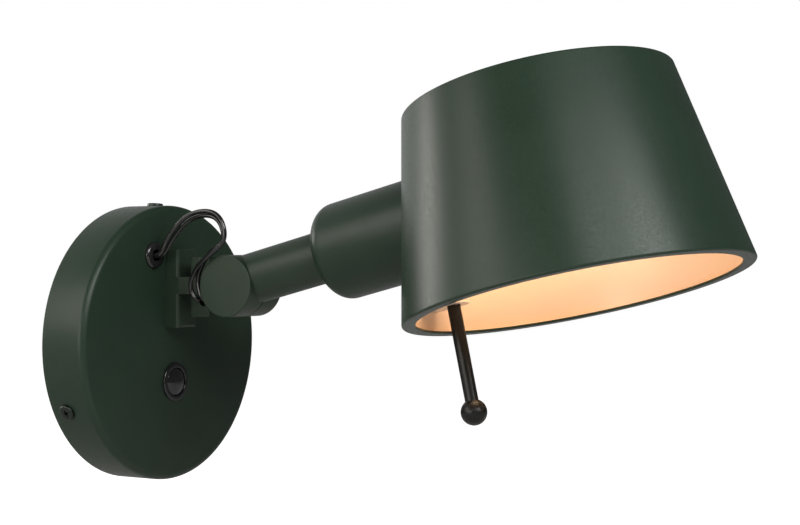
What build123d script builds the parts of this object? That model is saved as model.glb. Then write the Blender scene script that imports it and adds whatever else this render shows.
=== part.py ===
from build123d import *
import os
from math import acos, atan2, cos, hypot, pi, radians, sin, sqrt, tan

os.makedirs("parts", exist_ok=True)

# A bedside wall reading lamp, in millimetres.
# X runs along the wall, -Y points out of the wall into the room and Z is up.
# The origin is the centre of the canopy's back, on the wall.

# ---- driving dimensions ----

# how far a cut runs past the material
CUT_PAST = 1.0

# canopy: the round cover on the wall
CANOPY_RADIUS = 60.0
CANOPY_DEPTH = 22.0
CANOPY_WALL = 1.5
CANOPY_EDGE_FILLET = 3.0

# wall plate behind the canopy, with ears bent forward that take the side screws
PLATE_RADIUS = 53.0
PLATE_THICKNESS = 1.5
EAR_GAP = 0.8
EAR_WIDTH = 12.0
EAR_LENGTH = 14.0
CABLE_HOLE_RADIUS = 8.0
WALL_SLOT_SPACING = 80.0
WALL_SLOT_WIDTH = 5.0
WALL_SLOT_LENGTH = 9.0
SIDE_SCREW_ANGLES = (86.8, 206.8, 326.8)
SIDE_SCREW_DEPTH = 8.3
EARTH_SCREW_PLACE = (-24.0, -24.0)

# screws, by shank radius, and their heads
M4_RADIUS = 2.0
M4_HEAD_RADIUS = 3.5
M4_HEAD_HEIGHT = 2.4
SIDE_SCREW_HEAD_HEIGHT = 1.3
SIDE_SCREW_LENGTH = 8.0
BLOCK_SCREW_LENGTH = 7.0
EARTH_SCREW_LENGTH = 7.0
EARTH_WASHER_RADIUS = 4.5
HEAD_ROUNDING = 0.45
THREAD_CLEARANCE = 0.03
HOLE_CLEARANCE = 0.2
END_CLEARANCE = 0.3
SHIM_CLEARANCE = 0.1

# hinge block on the canopy, with the tongue that carries the swing pin
BLOCK_WIDTH = 13.2
BLOCK_DEPTH = 7.1
BLOCK_BOTTOM = 6.6
BLOCK_TOP = 41.0
BLOCK_FILLET = 1.4
BLOCK_SCREW_INSET = 6.4
TONGUE_HEIGHT = 7.4
TONGUE_END_RADIUS = 5.4
TONGUE_GAP = 0.3

# swing pin and the knuckle that turns on it
PIN_REACH = 38.5
PIN_RADIUS = 2.5
RUNNING_FIT = 0.05
KNUCKLE_WIDTH = 13.3
KNUCKLE_BACK = 35.3
KNUCKLE_FRONT = 46.0
KNUCKLE_BOTTOM = 11.6
KNUCKLE_TOP = 37.3
KNUCKLE_FILLET = 1.2
LEAD_HOLE_PLACE = (42.9, 18.6)
LEAD_HOLE_RADIUS = 2.4
LEAD_HOLE_DEPTH = 3.4

# half-lap barrel on which the arm tilts
TILT_REACH = 57.8
TILT_HEIGHT = 25.0
BARREL_RADIUS = 13.2
BARREL_HALF_LENGTH = 11.8
BARREL_EDGE = 0.5
SEAM = 0.5
FRICTION_DISC_RADIUS = 12.2
FRICTION_DISC_THICKNESS = 0.4
BARREL_CLEARANCE = 0.4
BOLT_RADIUS = 3.0
BOLT_HEAD_RADIUS = 5.0
BOLT_HEAD_HEIGHT = 4.5
BOLT_SOCKET_RADIUS = 2.3
BOLT_SOCKET_DEPTH = 2.25
BOLT_HEAD_RECESS = 0.6
BOLT_THREAD_LENGTH = 8.5
SPRING_WASHER_THICKNESS = 0.9

# arm tube
ARM_ELEVATION = 14.23
ARM_RADIUS = 10.92
ARM_WALL = 1.2
ARM_OFFSET = 1.5
ARM_LENGTH = 47.4
SPIGOT_END = 22.0
SPIGOT_BORE_RADIUS = 4.0
SPIGOT_BORE_START = 8.0
BUSH_LENGTH = 14.0

# neck: the hollow threaded nipple on which the head turns
NIPPLE_RADIUS = 5.0
NIPPLE_BORE_RADIUS = 3.5
NIPPLE_IN_BUSH = 11.4
NIPPLE_IN_HOLDER = 5.9
NECK_WASHER_RADIUS = 10.0
NECK_GAP = 0.3
WASHER_RADIUS = 9.0
WASHER_THICKNESS = 0.8
LOCK_NUT_FLATS = 14.0
LOCK_NUT_HEIGHT = 3.0

# cup: the round housing round the lampholder
CUP_RADIUS = 20.17
CUP_WALL = 1.6
CUP_SHOULDER = 7.0

# shade
SHADE_REACH = 152.36
SHADE_ROLL = 3.7
SHADE_TOP_RADIUS = 53.26
SHADE_BOTTOM_RADIUS = 67.8
SHADE_ABOVE_ARM = 36.93
SHADE_BELOW_ARM = 43.19
SHADE_WALL = 1.2
SHADE_LIP = 5.5
SHADE_RIM_FILLET = 0.9
SHADE_TOP_FILLET = 0.9

# lampholder and bulb
HOLDER_GAP = 0.45
HOLDER_LENGTH = 42.4
HOLDER_RADIUS = 14.0
HOLDER_CAP_RADIUS = 11.0
HOLDER_CAP_LENGTH = 12.0
HOLDER_CAP_FILLET = 1.5
HOLDER_BORE_RADIUS = 7.6
HOLDER_FLOOR_DEPTH = 18.4
SLEEVE_WALL = 0.4
SLEEVE_LENGTH = 16.0
SLEEVE_INSET = 2.0
CONTACT_RADIUS = 3.0
CONTACT_HEIGHT = 1.2
BULB_RADIUS = 22.5
BULB_NECK_RADIUS = 7.6
BULB_GLASS_LENGTH = 56.0
BULB_CAP_RADIUS = 6.75
BULB_CAP_LENGTH = 22.0
BULB_CAP_CHAMFER = 2.0
BULB_JOIN_ANGLE = 35.0
BULB_TIP_RADIUS = 2.5
BULB_TIP_HEIGHT = 1.6

# handle: the thin rod with a ball that steers the head
HANDLE_INSET = 53.1
ROD_RADIUS = 2.68
BALL_RADIUS = 5.23
BALL_DROP = 76.7
BALL_SEAT = 2.09
BOSS_TOP = -22.0
BOSS_ROOF = 2.0
BOSS_WIDTH = 12.0
BOSS_HEIGHT = 12.0
BOSS_NOSE = 6.0
BOSS_NOSE_FILLET = 5.0

# push switch in the canopy
SWITCH_HEIGHT = -17.3
BEZEL_RADIUS = 8.45
BEZEL_HEIGHT = 1.1
BEZEL_FILLET = 0.5
SWITCH_RADIUS = 6.9
SWITCH_BORE_RADIUS = 6.2
SWITCH_BACK = 4.6
SWITCH_FLOOR = 11.0
SWITCH_NUT_FLATS = 17.0
SWITCH_NUT_HEIGHT = 2.0
BUTTON_RADIUS = 6.0
BUTTON_PROUD = 2.0
BUTTON_TRAVEL = 2.0
BUTTON_DOME = 1.3
BUTTON_END_GAP = 0.3
SWITCH_TAB = (0.8, 2.8, 2.6)

# grommet and the two leads
GROMMET_PLACE = (-14.7, 38.0)
GROMMET_RADIUS = 5.75
GROMMET_HEIGHT = 1.8
GROMMET_FILLET = 1.08
GROMMET_NECK_RADIUS = 4.4
GROMMET_BACK_RADIUS = 5.3
GROMMET_BACK_HEIGHT = 1.5
GROMMET_BORE_RADIUS = 2.4
LEAD_RADIUS = 1.0
LEAD_SPACING = 2.3

# the leads inside the canopy: straight run behind the grommet, turn beside it,
# approach to the terminal block and how far the second lead lies from the first
INNER_LEAD_RUN = 6.0
INNER_LEAD_TURN = (7.0, 5.0)
INNER_LEAD_APPROACH = (4.0, 11.0)
INNER_LEAD_ENTRY = 5.0
INNER_LEAD_STEP = 3.0
INNER_LEAD_LIFT = 4.0

# terminal block on the wall plate
TERMINAL_CENTRE = (28.0, 24.0)
TERMINAL_SIZE = (26.0, 15.0, 10.0)
TERMINAL_POLES = 3
TERMINAL_HOLE_RADIUS = 1.7
TERMINAL_HOLE_HEIGHT = 4.5
TERMINAL_SCREW_RADIUS = 1.6
TERMINAL_SCREW_LENGTH = 3.5
TERMINAL_SCREW_SINK = 0.5
TERMINAL_FILLET = 1.0

# ---- derived places ----

BOLT_HEAD_END = BARREL_HALF_LENGTH - BOLT_HEAD_RECESS
BOLT_HEAD_START = BOLT_HEAD_END - BOLT_HEAD_HEIGHT
CANOPY_INSIDE = CANOPY_DEPTH - CANOPY_WALL
BLOCK_FRONT = CANOPY_DEPTH + BLOCK_DEPTH
TONGUE_BOTTOM = TILT_HEIGHT - TONGUE_HEIGHT / 2
ARM_WALL_RADIUS = ARM_RADIUS - ARM_WALL
CUP_START = ARM_LENGTH + NECK_GAP
CUP_INSIDE = CUP_START + CUP_WALL
RING_START = CUP_INSIDE + RUNNING_FIT
NUT_START = RING_START + WASHER_THICKNESS
HOLDER_START = NUT_START + LOCK_NUT_HEIGHT + HOLDER_GAP
HOLDER_MOUTH = HOLDER_START + HOLDER_LENGTH
HOLDER_FLOOR = HOLDER_START + HOLDER_FLOOR_DEPTH
NIPPLE_END = HOLDER_START + NIPPLE_IN_HOLDER
SHADE_TAPER = (SHADE_BOTTOM_RADIUS - SHADE_TOP_RADIUS) / (SHADE_ABOVE_ARM + SHADE_BELOW_ARM)

# frames: (x, y, z) in WALL is (along the wall, up, out of the wall)
WALL = Plane(origin=(0, 0, 0), x_dir=(1, 0, 0), z_dir=(0, -1, 0))
ARM_DIRECTION = Vector(0, -cos(radians(ARM_ELEVATION)), sin(radians(ARM_ELEVATION)))
ARM_UP = Vector(0, sin(radians(ARM_ELEVATION)), cos(radians(ARM_ELEVATION)))
TILT_AXIS = Vector(0, -TILT_REACH, TILT_HEIGHT)
ARM_START = TILT_AXIS + Vector(0, 0, ARM_OFFSET)
# (x, y, z) in ARM is (along the wall, across the arm, along the arm)
ARM = Plane(origin=ARM_START, x_dir=(1, 0, 0), z_dir=ARM_DIRECTION)
SHADE_CENTRE = ARM_START + ARM_DIRECTION * SHADE_REACH
SHADE_UP = ARM_UP * cos(radians(SHADE_ROLL)) + Vector(1, 0, 0) * sin(radians(SHADE_ROLL))
# (x, y, z) in HEAD is (along the arm, sideways, along the shade's own axis)
HEAD = Plane(origin=SHADE_CENTRE, x_dir=ARM_DIRECTION, z_dir=SHADE_UP)
# (x, y, z) in HINGE is (out of the wall, up, along the tilt axis), about the tilt axis
HINGE = Plane(origin=TILT_AXIS, x_dir=(0, -1, 0), z_dir=(1, 0, 0))


# ---- shared shapes ----

def bar(radius, start, end, x=0.0, y=0.0):
    """A round bar along the local z axis, from start to end."""
    low = min(start, end)
    length = abs(end - start)
    return Pos(x, y, low) * Cylinder(radius, length, align=(Align.CENTER, Align.CENTER, Align.MIN))


def ring(outer, inner, start, end, x=0.0, y=0.0):
    """A round ring along the local z axis."""
    return bar(outer, start, end, x, y) - bar(inner, start - CUT_PAST, end + CUT_PAST, x, y)


def block(x_range, y_range, z_range):
    """A box between three pairs of coordinates."""
    size = [high - low for low, high in (x_range, y_range, z_range)]
    centre = [(high + low) / 2 for low, high in (x_range, y_range, z_range)]
    return Pos(*centre) * Box(*size)


def pan_screw(radius, length, head_radius, head_height):
    """A pan-head screw: the head stands above z = 0 and the shank goes down."""
    head = bar(head_radius, 0, head_height)
    head = fillet(head.edges().sort_by(Axis.Z)[-1], head_height * HEAD_ROUNDING)
    return head + bar(radius, -length, 0)


def hex_nut(flats, bore, start, height):
    """A hexagonal nut along the local z axis."""
    outline = RegularPolygon(flats / 2, 6, major_radius=False)
    solid = Pos(0, 0, start) * extrude(outline, height)
    return solid - bar(bore, start - CUT_PAST, start + height + CUT_PAST)


ARC_SHARE = 0.45


def arc_radii(points):
    """For each corner of a route, the largest arc that its two runs allow."""
    radii = []
    for before, corner, after in zip(points, points[1:], points[2:]):
        run_in = Vector(*corner) - Vector(*before)
        run_out = Vector(*after) - Vector(*corner)
        turn = radians(run_in.get_angle(run_out))
        radii.append(ARC_SHARE * min(run_in.length, run_out.length) / tan(turn / 2))
    return radii


def tube_along(points, radius, name):
    """A round tube along a route of straight runs joined by tangent arcs."""
    radii = arc_radii(points)
    path = FilletPolyline(*points, radius=radii)
    section = Plane(origin=path @ 0, z_dir=path % 0) * Circle(radius)
    tube = sweep(section, path=path)
    share = tube.volume / (pi * radius ** 2 * path.length)
    print(f"{name}: length {path.length:.1f}, tightest arc {min(radii):.1f}, volume share {share:.4f}")
    return tube


# ---- wall base ----

def side_screw_frame(angle):
    """A frame on the canopy's side, with z pointing out along the screw."""
    out = Vector(cos(radians(angle)), 0, sin(radians(angle)))
    place = out * CANOPY_RADIUS + Vector(0, -SIDE_SCREW_DEPTH, 0)
    return Plane(origin=place, x_dir=(0, -1, 0), z_dir=out)


def make_canopy():
    shell = bar(CANOPY_RADIUS, 0, CANOPY_DEPTH)
    shell = fillet(shell.edges().sort_by(Axis.Z)[-1], CANOPY_EDGE_FILLET)
    hollow = bar(CANOPY_RADIUS - CANOPY_WALL, 0, CANOPY_INSIDE)
    hollow = fillet(hollow.edges().sort_by(Axis.Z)[-1], CANOPY_EDGE_FILLET - CANOPY_WALL)
    shell -= hollow
    beyond = CANOPY_DEPTH + CUT_PAST
    shell -= bar(SWITCH_RADIUS + HOLE_CLEARANCE, 0, beyond, 0, SWITCH_HEIGHT)
    shell -= bar(GROMMET_NECK_RADIUS + THREAD_CLEARANCE, 0, beyond, *GROMMET_PLACE)
    for height in block_screw_heights():
        shell -= bar(M4_RADIUS + HOLE_CLEARANCE, 0, beyond, 0, height)
    canopy = WALL * shell
    for angle in SIDE_SCREW_ANGLES:
        hole = bar(M4_RADIUS + HOLE_CLEARANCE, -CANOPY_WALL - CUT_PAST, CUT_PAST)
        canopy -= side_screw_frame(angle) * hole
    return canopy


def make_wall_plate():
    plate = bar(PLATE_RADIUS, 0, PLATE_THICKNESS)
    beyond = PLATE_THICKNESS + CUT_PAST
    plate -= bar(CABLE_HOLE_RADIUS, -CUT_PAST, beyond)
    for side in (-1, 1):
        slot = SlotOverall(WALL_SLOT_LENGTH, WALL_SLOT_WIDTH)
        plate -= Pos(side * WALL_SLOT_SPACING / 2, 0, -CUT_PAST) * extrude(slot, beyond + CUT_PAST)
    plate -= bar(M4_RADIUS + THREAD_CLEARANCE, -CUT_PAST, beyond, *EARTH_SCREW_PLACE)
    ear_top = CANOPY_RADIUS - CANOPY_WALL - EAR_GAP
    bend = 2 * PLATE_THICKNESS
    for angle in SIDE_SCREW_ANGLES:
        strap = block((PLATE_RADIUS - bend, ear_top), (-EAR_WIDTH / 2, EAR_WIDTH / 2), (0, EAR_LENGTH))
        inside = block(
            (0, ear_top - PLATE_THICKNESS), (-EAR_WIDTH, EAR_WIDTH), (PLATE_THICKNESS, EAR_LENGTH + CUT_PAST)
        )
        outer_edges = strap.edges().filter_by(Axis.Y).group_by(Axis.X)[-1]
        strap = fillet(outer_edges.sort_by(Axis.Z)[0], PLATE_THICKNESS)
        plate += Rot(0, 0, angle) * (strap - inside)
    plate = WALL * plate
    for angle in SIDE_SCREW_ANGLES:
        hole = bar(M4_RADIUS + THREAD_CLEARANCE, -SIDE_SCREW_LENGTH - CUT_PAST, CUT_PAST)
        plate -= side_screw_frame(angle) * hole
    return plate


def make_side_screws():
    screw = pan_screw(M4_RADIUS, SIDE_SCREW_LENGTH, M4_HEAD_RADIUS, SIDE_SCREW_HEAD_HEIGHT)
    return [side_screw_frame(angle) * screw for angle in SIDE_SCREW_ANGLES]


def block_screw_heights():
    """Heights of the two screws that hold the hinge block."""
    return (BLOCK_BOTTOM + BLOCK_SCREW_INSET, BLOCK_TOP - BLOCK_SCREW_INSET)


def make_hinge_block():
    half = BLOCK_WIDTH / 2
    body = block((-half, half), (BLOCK_BOTTOM, BLOCK_TOP), (CANOPY_DEPTH, BLOCK_FRONT))
    body = fillet(body.faces().sort_by(Axis.Z)[-1].edges(), BLOCK_FILLET)
    reach = PIN_REACH - BLOCK_FRONT
    slant = acos(TONGUE_END_RADIUS / hypot(reach, half)) - atan2(reach, half)
    tangent = (TONGUE_END_RADIUS * cos(slant), PIN_REACH + TONGUE_END_RADIUS * sin(slant))
    tongue_back = BLOCK_FRONT - 2 * BLOCK_FILLET
    outline = Polyline(
        (-half, tongue_back), (half, tongue_back), (half, BLOCK_FRONT), tangent, (-tangent[0], tangent[1]),
        (-half, BLOCK_FRONT), close=True,
    )
    flat = make_face(outline) + Pos(0, PIN_REACH) * Circle(TONGUE_END_RADIUS)
    flat -= Pos(0, PIN_REACH) * Circle(PIN_RADIUS + RUNNING_FIT)
    tongue = extrude(flat, TONGUE_HEIGHT)
    lie_flat = Plane(origin=(0, TONGUE_BOTTOM, 0), x_dir=(-1, 0, 0), z_dir=(0, 1, 0))
    body += lie_flat * tongue
    hole_end = CANOPY_INSIDE + BLOCK_SCREW_LENGTH + END_CLEARANCE
    for height in block_screw_heights():
        body -= bar(M4_RADIUS + THREAD_CLEARANCE, 0, hole_end, 0, height)
    return WALL * body


def make_block_screws():
    screw = Rot(180, 0, 0) * pan_screw(M4_RADIUS, BLOCK_SCREW_LENGTH, M4_HEAD_RADIUS, M4_HEAD_HEIGHT)
    return [WALL * Pos(0, height, CANOPY_INSIDE) * screw for height in block_screw_heights()]


def make_earth_screw():
    screw = pan_screw(M4_RADIUS, EARTH_SCREW_LENGTH, M4_HEAD_RADIUS, M4_HEAD_HEIGHT)
    return WALL * Pos(*EARTH_SCREW_PLACE, EARTH_SCREW_LENGTH) * screw


def make_earth_washer():
    start = EARTH_SCREW_LENGTH - WASHER_THICKNESS
    inner = M4_RADIUS + THREAD_CLEARANCE
    return WALL * ring(EARTH_WASHER_RADIUS, inner, start, EARTH_SCREW_LENGTH, *EARTH_SCREW_PLACE)


def terminal_pole_x(pole):
    """Where a pole of the terminal block lies along the wall."""
    return TERMINAL_CENTRE[0] + (pole - (TERMINAL_POLES - 1) / 2) * TERMINAL_SIZE[0] / TERMINAL_POLES


def make_terminal_block():
    width, height, depth = TERMINAL_SIZE
    x, y = TERMINAL_CENTRE
    top = PLATE_THICKNESS + depth
    body = block(
        (x - width / 2, x + width / 2), (y - height / 2, y + height / 2), (PLATE_THICKNESS, top)
    )
    body = fillet(body.edges().filter_by(Axis.Z), TERMINAL_FILLET)
    across = Plane(origin=(0, y - height, 0), x_dir=(1, 0, 0), z_dir=(0, 1, 0))
    hole_z = PLATE_THICKNESS + TERMINAL_HOLE_HEIGHT
    well_radius = TERMINAL_SCREW_RADIUS + HOLE_CLEARANCE
    for pole in range(TERMINAL_POLES):
        pole_x = terminal_pole_x(pole)
        body -= across * bar(TERMINAL_HOLE_RADIUS, 0, 2 * height, pole_x, -hole_z)
        body -= bar(well_radius, top - TERMINAL_SCREW_LENGTH, top + CUT_PAST, pole_x, y)
    return WALL * body


def make_terminal_screws():
    top = PLATE_THICKNESS + TERMINAL_SIZE[2]
    screw = bar(TERMINAL_SCREW_RADIUS, top - TERMINAL_SCREW_LENGTH, top - TERMINAL_SCREW_SINK)
    places = [Pos(terminal_pole_x(pole), TERMINAL_CENTRE[1], 0) for pole in range(TERMINAL_POLES)]
    return [WALL * place * screw for place in places]


# ---- push switch ----

def make_switch_bezel():
    rim = bar(BEZEL_RADIUS, CANOPY_DEPTH, CANOPY_DEPTH + BEZEL_HEIGHT, 0, SWITCH_HEIGHT)
    rim = fillet(rim.edges().sort_by(Axis.Z)[-1], BEZEL_FILLET)
    sleeve = bar(SWITCH_RADIUS, SWITCH_BACK, CANOPY_DEPTH + BEZEL_HEIGHT / 2, 0, SWITCH_HEIGHT)
    body = rim + sleeve
    beyond = CANOPY_DEPTH + BEZEL_HEIGHT + CUT_PAST
    body -= bar(SWITCH_BORE_RADIUS, SWITCH_FLOOR, beyond, 0, SWITCH_HEIGHT)
    return WALL * body


def make_switch_nut():
    bore = SWITCH_RADIUS + THREAD_CLEARANCE
    nut = hex_nut(SWITCH_NUT_FLATS, bore, CANOPY_INSIDE - SWITCH_NUT_HEIGHT, SWITCH_NUT_HEIGHT)
    return WALL * Pos(0, SWITCH_HEIGHT, 0) * nut


def make_switch_tabs():
    width, depth, length = SWITCH_TAB
    tabs = []
    for side in (-1, 1):
        x = side * SWITCH_RADIUS / 2
        y = (SWITCH_HEIGHT - depth / 2, SWITCH_HEIGHT + depth / 2)
        tabs.append(WALL * block((x - width / 2, x + width / 2), y, (SWITCH_BACK - length, SWITCH_BACK)))
    return tabs


def make_push_button():
    start = SWITCH_FLOOR + BUTTON_TRAVEL + BUTTON_END_GAP
    end = CANOPY_DEPTH + BUTTON_PROUD
    dome_radius = (BUTTON_RADIUS ** 2 + BUTTON_DOME ** 2) / (2 * BUTTON_DOME)
    cap = bar(BUTTON_RADIUS, start, end, 0, SWITCH_HEIGHT)
    dome = Pos(0, SWITCH_HEIGHT, end - dome_radius) * Sphere(dome_radius)
    return WALL * (cap & dome)


# ---- grommet and leads ----

def make_grommet():
    x, y = GROMMET_PLACE
    front = bar(GROMMET_RADIUS, CANOPY_DEPTH, CANOPY_DEPTH + GROMMET_HEIGHT, x, y)
    front = fillet(front.edges().sort_by(Axis.Z)[-1], GROMMET_FILLET)
    body = front + bar(GROMMET_NECK_RADIUS, CANOPY_INSIDE, CANOPY_DEPTH, x, y)
    body += bar(GROMMET_BACK_RADIUS, CANOPY_INSIDE - GROMMET_BACK_HEIGHT, CANOPY_INSIDE, x, y)
    body -= bar(GROMMET_BORE_RADIUS, 0, CANOPY_DEPTH + GROMMET_HEIGHT + CUT_PAST, x, y)
    return WALL * body


LEAD_EXIT_Y = -(CANOPY_DEPTH + GROMMET_HEIGHT)
LEAD_END_X = -KNUCKLE_WIDTH / 2 + LEAD_HOLE_DEPTH

# The loop of each lead, from the grommet over the top and down into the knuckle's side.
LEFT_LEAD_ROUTE = (
    (GROMMET_PLACE[0] - LEAD_SPACING / 2, LEAD_EXIT_Y, GROMMET_PLACE[1]),
    (GROMMET_PLACE[0] - LEAD_SPACING / 2, -27.2, GROMMET_PLACE[1]),
    (-15.5, -30.0, 45.6),
    (-15.0, -41.0, 56.4),
    (-14.8, -56.8, 56.9),
    (-14.8, -61.6, 44.4),
    (-14.6, -51.2, 37.6),
    (-13.4, -44.4, 33.2),
    (-11.0, -38.8, 26.6),
    (-10.4, -39.4, 21.8),
    (-9.9, -LEAD_HOLE_PLACE[0] + LEAD_SPACING / 2, LEAD_HOLE_PLACE[1]),
    (LEAD_END_X, -LEAD_HOLE_PLACE[0] + LEAD_SPACING / 2, LEAD_HOLE_PLACE[1]),
)
RIGHT_LEAD_ROUTE = (
    (GROMMET_PLACE[0] + LEAD_SPACING / 2, LEAD_EXIT_Y, GROMMET_PLACE[1]),
    (GROMMET_PLACE[0] + LEAD_SPACING / 2, -27.0, GROMMET_PLACE[1]),
    (-12.9, -30.4, 44.4),
    (-12.9, -40.6, 54.5),
    (-12.9, -55.0, 55.2),
    (-12.9, -59.4, 44.0),
    (-12.4, -51.4, 40.0),
    (-10.6, -45.6, 35.0),
    (-9.2, -41.6, 29.2),
    (-9.0, -42.0, 23.8),
    (-9.3, -LEAD_HOLE_PLACE[0] - LEAD_SPACING / 2, LEAD_HOLE_PLACE[1]),
    (LEAD_END_X, -LEAD_HOLE_PLACE[0] - LEAD_SPACING / 2, LEAD_HOLE_PLACE[1]),
)


def make_canopy_leads():
    """The two leads inside the canopy, from the grommet to the terminal block."""
    entry_y = TERMINAL_CENTRE[1] + TERMINAL_SIZE[1] / 2
    entry_z = PLATE_THICKNESS + TERMINAL_HOLE_HEIGHT
    turn_x, turn_y = INNER_LEAD_TURN
    approach_x, approach_y = INNER_LEAD_APPROACH
    leads = []
    for pole, side in ((0, 1), (1, -1)):
        entry_x = terminal_pole_x(pole)
        start_x = GROMMET_PLACE[0] + side * LEAD_SPACING / 2
        low_z = entry_z + pole * INNER_LEAD_LIFT
        step = pole * INNER_LEAD_STEP
        points = (
            (start_x, GROMMET_PLACE[1], CANOPY_DEPTH + GROMMET_HEIGHT),
            (start_x, GROMMET_PLACE[1], low_z + INNER_LEAD_RUN),
            (start_x + turn_x, GROMMET_PLACE[1] + turn_y + step, low_z),
            (entry_x - approach_x, entry_y + approach_y + step, low_z),
            (entry_x, entry_y + INNER_LEAD_ENTRY, entry_z),
            (entry_x, entry_y, entry_z),
        )
        leads.append(WALL * tube_along(points, LEAD_RADIUS, f"canopy lead {pole + 1}"))
    return leads


# ---- knuckle ----

def barrel_half(side):
    """One half of the tilt barrel, on the near (-1) or far (1) side of the seam."""
    half = bar(BARREL_RADIUS, side * SEAM / 2, side * BARREL_HALF_LENGTH)
    rims = half.edges().filter_by(GeomType.CIRCLE).sort_by(Axis.Z)
    outer_rim = rims[-1] if side > 0 else rims[0]
    return fillet(outer_rim, BARREL_EDGE)


def make_knuckle():
    half = KNUCKLE_WIDTH / 2
    body = block((-half, half), (-KNUCKLE_FRONT, -KNUCKLE_BACK), (KNUCKLE_BOTTOM, KNUCKLE_TOP))
    back_edges = body.edges().filter_by(Axis.Z).group_by(Axis.Y)[-1]
    body = fillet(back_edges, KNUCKLE_FILLET)
    near_side = HINGE * bar(BARREL_RADIUS + BARREL_CLEARANCE, -BARREL_HALF_LENGTH, SEAM / 2)
    body -= near_side
    body += HINGE * barrel_half(1)
    slot_end = PIN_REACH + TONGUE_END_RADIUS + TONGUE_GAP
    slot_height = TONGUE_HEIGHT / 2 + TONGUE_GAP
    body -= block(
        (-half - CUT_PAST, half + CUT_PAST), (-slot_end, CUT_PAST - KNUCKLE_BACK),
        (TILT_HEIGHT - slot_height, TILT_HEIGHT + slot_height),
    )
    body -= Pos(0, -PIN_REACH, 0) * bar(PIN_RADIUS + THREAD_CLEARANCE, 0, KNUCKLE_TOP + CUT_PAST)
    body -= HINGE * bar(BOLT_RADIUS + RUNNING_FIT, -CUT_PAST, BARREL_HALF_LENGTH + CUT_PAST)
    recess = BOLT_HEAD_START - SPRING_WASHER_THICKNESS - SHIM_CLEARANCE
    body -= HINGE * bar(BOLT_HEAD_RADIUS + HOLE_CLEARANCE, recess, BARREL_HALF_LENGTH + CUT_PAST)
    into_side = Plane(origin=(-half, -LEAD_HOLE_PLACE[0], LEAD_HOLE_PLACE[1]), z_dir=(1, 0, 0))
    body -= into_side * bar(LEAD_HOLE_RADIUS, -CUT_PAST, LEAD_HOLE_DEPTH)
    return body


def make_pivot_pin():
    return Pos(0, -PIN_REACH, 0) * bar(PIN_RADIUS, KNUCKLE_BOTTOM, KNUCKLE_TOP)


# ---- arm ----

def far_side_space():
    """The space that the far half of the barrel turns in."""
    return HINGE * bar(BARREL_RADIUS + BARREL_CLEARANCE, -SEAM / 2, BARREL_HALF_LENGTH + CUT_PAST)


def make_arm_barrel():
    body = HINGE * barrel_half(-1)
    spigot = ARM * bar(ARM_WALL_RADIUS - THREAD_CLEARANCE, 0, SPIGOT_END)
    body += spigot - far_side_space()
    body -= ARM * bar(SPIGOT_BORE_RADIUS, SPIGOT_BORE_START, SPIGOT_END + CUT_PAST)
    body -= HINGE * bar(BOLT_RADIUS + THREAD_CLEARANCE, -BOLT_THREAD_LENGTH, 0)
    return body


def make_arm_tube():
    tube = ARM * ring(ARM_RADIUS, ARM_WALL_RADIUS, 0, ARM_LENGTH)
    tube -= far_side_space()
    tube -= HINGE * bar(BARREL_RADIUS, -BARREL_HALF_LENGTH - CUT_PAST, 0)
    return tube


def make_tilt_bolt():
    head = bar(BOLT_HEAD_RADIUS, BOLT_HEAD_START, BOLT_HEAD_END)
    socket = extrude(RegularPolygon(BOLT_SOCKET_RADIUS, 6), BOLT_SOCKET_DEPTH)
    head -= Pos(0, 0, BOLT_HEAD_END - BOLT_SOCKET_DEPTH) * socket
    return HINGE * (head + bar(BOLT_RADIUS, END_CLEARANCE - BOLT_THREAD_LENGTH, BOLT_HEAD_START))


def make_spring_washer():
    start = BOLT_HEAD_START - SPRING_WASHER_THICKNESS
    return HINGE * ring(BOLT_HEAD_RADIUS, BOLT_RADIUS + THREAD_CLEARANCE, start, BOLT_HEAD_START)


def make_friction_disc():
    inner = BOLT_RADIUS + THREAD_CLEARANCE
    start = -SEAM / 2
    return HINGE * ring(FRICTION_DISC_RADIUS, inner, start, start + FRICTION_DISC_THICKNESS)


def make_end_bush():
    outer = ARM_WALL_RADIUS - THREAD_CLEARANCE
    return ARM * ring(outer, NIPPLE_RADIUS + THREAD_CLEARANCE, ARM_LENGTH - BUSH_LENGTH, ARM_LENGTH)


def make_nipple():
    return ARM * ring(NIPPLE_RADIUS, NIPPLE_BORE_RADIUS, ARM_LENGTH - NIPPLE_IN_BUSH, NIPPLE_END)


def make_neck_washer():
    inner = NIPPLE_RADIUS + THREAD_CLEARANCE
    return ARM * ring(NECK_WASHER_RADIUS, inner, ARM_LENGTH, CUP_START - RUNNING_FIT)


def make_spring_ring():
    return ARM * ring(WASHER_RADIUS, NIPPLE_RADIUS + THREAD_CLEARANCE, RING_START, NUT_START)


def make_lock_nut():
    return ARM * hex_nut(LOCK_NUT_FLATS, NIPPLE_RADIUS + THREAD_CLEARANCE, NUT_START, LOCK_NUT_HEIGHT)


def make_lampholder():
    body = bar(HOLDER_CAP_RADIUS, HOLDER_START, HOLDER_START + HOLDER_CAP_LENGTH)
    body += bar(HOLDER_RADIUS, HOLDER_START + HOLDER_CAP_LENGTH, HOLDER_MOUTH)
    shoulder = body.edges().filter_by(GeomType.CIRCLE).group_by(Axis.Z)
    body = fillet(shoulder[0], HOLDER_CAP_FILLET)
    body -= bar(HOLDER_BORE_RADIUS, HOLDER_FLOOR, HOLDER_MOUTH + CUT_PAST)
    body -= bar(NIPPLE_RADIUS + THREAD_CLEARANCE, HOLDER_START - CUT_PAST, NIPPLE_END + END_CLEARANCE)
    return ARM * body


def make_holder_sleeve():
    outer = HOLDER_BORE_RADIUS - THREAD_CLEARANCE
    end = HOLDER_MOUTH - SLEEVE_INSET
    return ARM * ring(outer, outer - SLEEVE_WALL, end - SLEEVE_LENGTH, end)


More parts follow.
